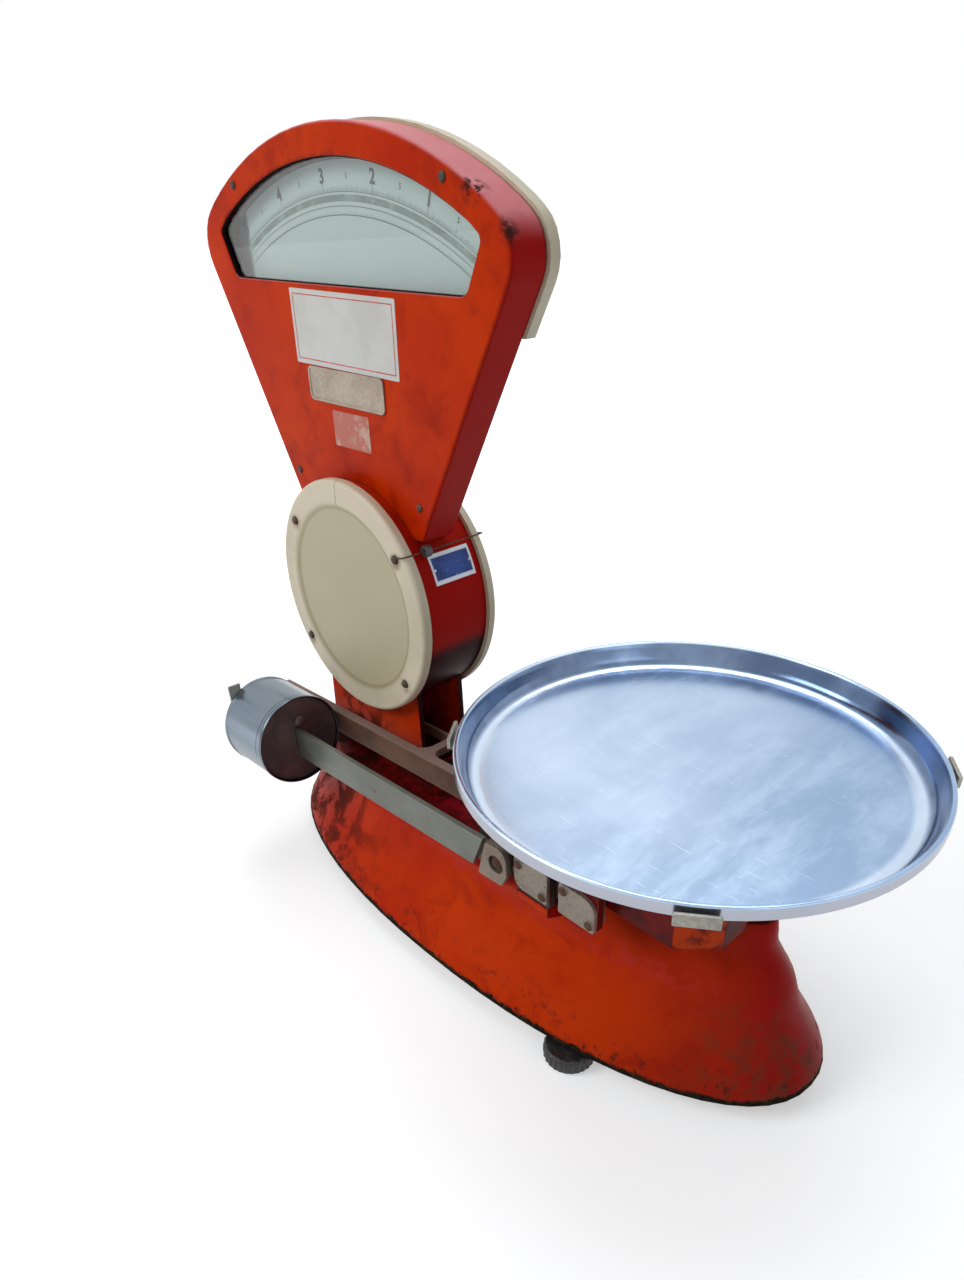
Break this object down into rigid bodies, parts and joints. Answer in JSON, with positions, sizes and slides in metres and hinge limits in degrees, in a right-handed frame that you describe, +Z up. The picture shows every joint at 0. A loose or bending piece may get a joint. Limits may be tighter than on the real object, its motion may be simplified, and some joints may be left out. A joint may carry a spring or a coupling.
{
  "type": "counter scale",
  "caption": "Old fan-head counter scale: boat-shaped base, round drum and fan-shaped dial head on a neck, sliding poise on a bar, round pan on a carrier.",
  "frame": {"origin": "centre of the whole scale's bounding box, on the counter under the feet", "axes": "+X from the fan head's side to the pan's side, +Y from the side with the poise bar to the rear, +Z up"},
  "size_m": [0.7246, 0.34, 0.6355],
  "materials": {
    "red_paint": "semi-gloss orange-red paint, worn and chipped",
    "ivory_paint": "aged ivory enamel",
    "screw_steel": "dull steel",
    "window_glass": "clear flat glass",
    "dial_white": "printed white dial",
    "nameplate_metal": "blank pressed plate",
    "verification_foil": "thin blue and silver plate",
    "rivet_metal": "plain rivet",
    "wire_steel": "thin wire",
    "seal_lead": "soft grey lead, entered as a dull cast metal",
    "dark_steel": "dark painted steel",
    "bolt_steel": "rusty steel",
    "bearing_steel": "ground hardened steel",
    "keeper_steel": "bare worn steel plate",
    "dashpot_steel": "plain steel",
    "wheel_black": "black ribbed wheel",
    "foot_screw_steel": "plain steel screw",
    "beam_metal": "pinkish-brown coated casting",
    "bar_steel": "dull grey-green steel with rust spots",
    "poise_chrome": "worn bright plating",
    "poise_iron": "dark purplish-brown face",
    "tab_steel": "grey tab",
    "pan_steel": "polished stainless steel with fine scratches",
    "tape_steel": "plain steel",
    "pendulum_brass": "plain brass",
    "shaft_steel": "ground steel",
    "pointer_black": "thin black pointer"
  },
  "bodies": {
    "stand": {"base_casting": "red_paint", "neck_column": "red_paint", "drum_housing": "red_paint", "front_drum_cover": "ivory_paint", "rear_drum_cover": "ivory_paint", "drum_cover_screws": "screw_steel", "head_housing": "red_paint", "head_rear_cover": "ivory_paint", "head_screws": "screw_steel", "window_glasses": "window_glass", "front_dial": "dial_white", "rear_dial": "dial_white", "nameplate": "nameplate_metal", "verification_plate": "verification_foil", "plate_rivets": "rivet_metal", "seal_wire": "wire_steel", "lead_seal": "seal_lead", "fulcrum_pillars": "dark_steel", "fulcrum_bearings": "bearing_steel", "fulcrum_keepers": "keeper_steel", "bearing_bridges": "dark_steel", "pendulum_bearings": "bearing_steel", "dashpot_cylinder": "dashpot_steel", "link_bracket": "dark_steel", "beam_stop": "dark_steel"},
    "front_foot": {"foot_wheel_front": "wheel_black", "foot_screw_front": "foot_screw_steel"},
    "rear_foot": {"foot_wheel_rear": "wheel_black", "foot_screw_rear": "foot_screw_steel"},
    "left_foot": {"foot_wheel_left": "wheel_black", "foot_screw_left": "foot_screw_steel"},
    "beam": {"beam_front_arm": "beam_metal", "beam_rear_arm": "beam_metal", "beam_tie": "beam_metal", "beam_nose": "beam_metal", "beam_yoke": "beam_metal", "fulcrum_knives": "bearing_steel", "load_knives": "bearing_steel", "poise_bar": "bar_steel", "bar_bracket": "dark_steel", "bracket_bolt": "bolt_steel"},
    "poise": {"poise_shell": "poise_chrome", "poise_core": "poise_iron", "poise_screw": "poise_iron", "poise_tab": "tab_steel"},
    "carrier": {"carrier_hub": "red_paint", "load_lugs": "red_paint", "load_bearings": "bearing_steel", "load_keepers": "keeper_steel", "pan_spider": "dark_steel", "carrier_stem": "dark_steel"},
    "weighing_pan": {"pan": "pan_steel"},
    "check_link": {"check_link": "dark_steel"},
    "pull_rod": {"pull_rod": "tape_steel", "steel_tape": "tape_steel"},
    "pendulum": {"pendulum_shaft": "shaft_steel", "tape_sector": "pendulum_brass", "pendulum_bob": "pendulum_brass", "pointers": "pointer_black"},
    "piston": {"dashpot_piston": "dashpot_steel"}
  },
  "joints": [
    {"name": "beam_tilt", "type": "hinge", "parent": "stand", "child": "beam", "pos_m": [0.12525, 0, 0.151], "axis": [0, 1, 0], "range_deg": [0, 3.5]},
    {"name": "carrier_level", "type": "hinge", "parent": "beam", "child": "carrier", "pos_m": [0.17219, 0, 0.15346], "axis": [0, 1, 0], "range_deg": [-3.5, 0]},
    {"name": "check_link_turn", "type": "hinge", "parent": "stand", "child": "check_link", "pos_m": [0.12525, 0, 0.046], "axis": [0, 1, 0], "range_deg": [0, 3.5]},
    {"name": "pull_rod_lift", "type": "slide", "parent": "stand", "child": "pull_rod", "axis": [0, 0, 1], "range_m": [0, 0.01672]},
    {"name": "pendulum_turn", "type": "hinge", "parent": "stand", "child": "pendulum", "pos_m": [-0.16475, 0.0025, 0.2775], "axis": [0, 1, 0], "range_deg": [-60, 0]},
    {"name": "piston_lift", "type": "slide", "parent": "stand", "child": "piston", "axis": [0, 0, 1], "range_m": [0, 0.01146]},
    {"name": "poise_slide", "type": "slide", "parent": "beam", "child": "poise", "axis": [0.9986, 0, 0.0523], "range_m": [0, 0.235]},
    {"name": "pan_lift_off", "type": "slide", "parent": "carrier", "child": "weighing_pan", "axis": [0, 0, 1], "range_m": [0, 0.12]},
    {"name": "front_foot_turn", "type": "hinge", "parent": "stand", "child": "front_foot", "pos_m": [0.17725, -0.10081, 0], "axis": [0, 0, 1], "continuous": true},
    {"name": "rear_foot_turn", "type": "hinge", "parent": "stand", "child": "rear_foot", "pos_m": [0.17725, 0.10081, 0], "axis": [0, 0, 1], "continuous": true},
    {"name": "left_foot_turn", "type": "hinge", "parent": "stand", "child": "left_foot", "pos_m": [-0.27775, 0, 0], "axis": [0, 0, 1], "continuous": true}
  ],
  "couplings": [
    {"joint": "carrier_level", "follows": "beam_tilt", "ratio": -1},
    {"joint": "check_link_turn", "follows": "beam_tilt", "ratio": 1},
    {"joint": "pull_rod_lift", "follows": "beam_tilt", "m_per_rad": 0.27344},
    {"joint": "pendulum_turn", "follows": "beam_tilt", "ratio": -17.143},
    {"joint": "piston_lift", "follows": "beam_tilt", "m_per_rad": 0.18723}
  ]
}
